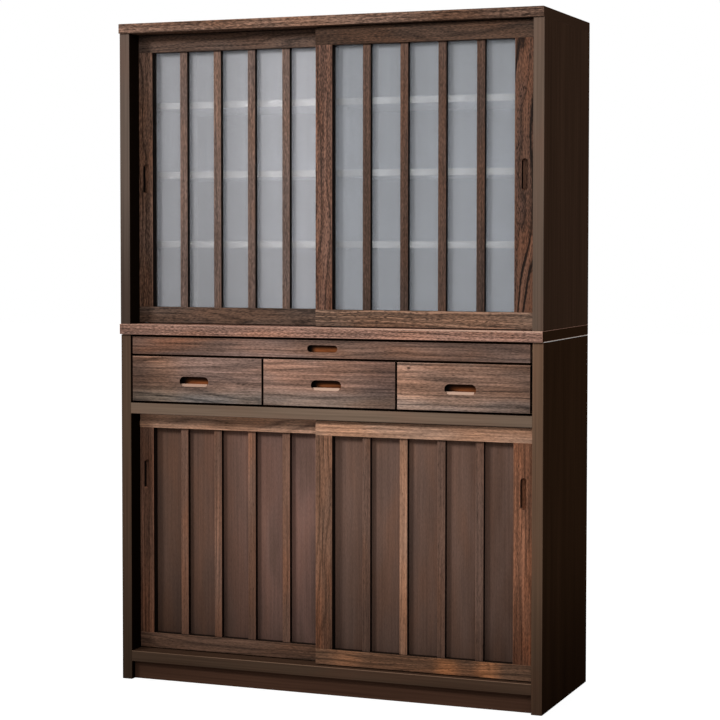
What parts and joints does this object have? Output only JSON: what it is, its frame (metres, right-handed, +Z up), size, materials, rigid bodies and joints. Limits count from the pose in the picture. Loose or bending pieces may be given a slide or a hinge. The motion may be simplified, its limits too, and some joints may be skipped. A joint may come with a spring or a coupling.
{
  "type": "mizuya kitchen cabinet",
  "caption": "Tall two-part wooden kitchen cabinet: glazed sliding doors over a slide-out tray, a row of drawers and panelled sliding doors.",
  "frame": {"origin": "on the floor, at the middle of the cabinet's width and depth", "axes": "+Z up; +X to the right as one faces the cabinet; +Y towards the back, so the fronts face -Y"},
  "size_m": [1.2, 0.45, 1.8],
  "materials": {
    "board_wood": "satin stain, open grain",
    "side_laminate": "matt dark-brown laminate",
    "interior_white": "matt white melamine",
    "inner_board": "matt dark-brown laminate",
    "felt": "pale felt",
    "pin_steel": "nickel plated",
    "track_plastic": "smooth dark-brown plastic",
    "plate_steel": "zinc plated",
    "screw_steel": "zinc plated",
    "dowel_wood": "plain beech",
    "runner_wood": "plain, waxed",
    "front_wood": "satin stain, open grain",
    "tray_wood": "satin stain",
    "frame_wood": "satin stain, open grain",
    "muntin_wood": "satin stain, open grain",
    "glass": "clear, polished",
    "panel_veneer": "matt stain, fine grain",
    "glide_plastic": "smooth",
    "box_wood": "plain, sanded",
    "box_bottom": "plain plywood"
  },
  "bodies": {
    "carcass": {"bottom_board": "side_laminate", "carcass_dowels": "dowel_wood", "door_track_strips": "track_plastic", "drawer_deck": "side_laminate", "drawer_dividers": "inner_board", "joining_plates": "plate_steel", "joining_screws": "screw_steel", "kick_plate": "side_laminate", "lower_back_panel": "interior_white", "lower_partition": "interior_white", "lower_side_left": "side_laminate", "lower_side_right": "side_laminate", "lower_top_panel": "inner_board", "rear_base_rail": "side_laminate", "runner_strips": "runner_wood", "shelf_pins": "pin_steel", "shelves": "interior_white", "top_board": "board_wood", "tray_deck": "inner_board", "unit_seat_strips": "felt", "upper_back_panel": "interior_white", "upper_base_board": "board_wood", "upper_partition": "interior_white", "upper_side_left": "side_laminate", "upper_side_right": "side_laminate"},
    "upper_left_door": {"upper_left_door_bottom_rail": "frame_wood", "upper_left_door_glass": "glass", "upper_left_door_glides": "glide_plastic", "upper_left_door_muntins": "muntin_wood", "upper_left_door_stiles": "frame_wood", "upper_left_door_top_rail": "frame_wood"},
    "upper_right_door": {"upper_right_door_bottom_rail": "frame_wood", "upper_right_door_glass": "glass", "upper_right_door_glides": "glide_plastic", "upper_right_door_muntins": "muntin_wood", "upper_right_door_stiles": "frame_wood", "upper_right_door_top_rail": "frame_wood"},
    "lower_left_door": {"lower_left_door_bottom_rail": "frame_wood", "lower_left_door_glides": "glide_plastic", "lower_left_door_muntins": "muntin_wood", "lower_left_door_panel": "panel_veneer", "lower_left_door_stiles": "frame_wood", "lower_left_door_top_rail": "frame_wood"},
    "lower_right_door": {"lower_right_door_bottom_rail": "frame_wood", "lower_right_door_glides": "glide_plastic", "lower_right_door_muntins": "muntin_wood", "lower_right_door_panel": "panel_veneer", "lower_right_door_stiles": "frame_wood", "lower_right_door_top_rail": "frame_wood"},
    "drawer_left": {"drawer_left_bottom": "box_bottom", "drawer_left_box": "box_wood", "drawer_left_front": "front_wood"},
    "drawer_middle": {"drawer_middle_bottom": "box_bottom", "drawer_middle_box": "box_wood", "drawer_middle_front": "front_wood"},
    "drawer_right": {"drawer_right_bottom": "box_bottom", "drawer_right_box": "box_wood", "drawer_right_front": "front_wood"},
    "tray": {"tray_front": "front_wood", "tray_board": "tray_wood"}
  },
  "joints": [
    {"name": "upper_left_door_slide", "type": "slide", "parent": "carcass", "child": "upper_left_door", "axis": [1, 0, 0], "range_m": [0, 0.567]},
    {"name": "upper_right_door_slide", "type": "slide", "parent": "carcass", "child": "upper_right_door", "axis": [-1, 0, 0], "range_m": [0, 0.54]},
    {"name": "lower_left_door_slide", "type": "slide", "parent": "carcass", "child": "lower_left_door", "axis": [1, 0, 0], "range_m": [0, 0.567]},
    {"name": "lower_right_door_slide", "type": "slide", "parent": "carcass", "child": "lower_right_door", "axis": [-1, 0, 0], "range_m": [0, 0.54]},
    {"name": "drawer_left_slide", "type": "slide", "parent": "carcass", "child": "drawer_left", "axis": [0, -1, 0], "range_m": [0, 0.3]},
    {"name": "drawer_middle_slide", "type": "slide", "parent": "carcass", "child": "drawer_middle", "axis": [0, -1, 0], "range_m": [0, 0.3]},
    {"name": "drawer_right_slide", "type": "slide", "parent": "carcass", "child": "drawer_right", "axis": [0, -1, 0], "range_m": [0, 0.3]},
    {"name": "tray_slide", "type": "slide", "parent": "carcass", "child": "tray", "axis": [0, -1, 0], "range_m": [0, 0.25]}
  ]
}
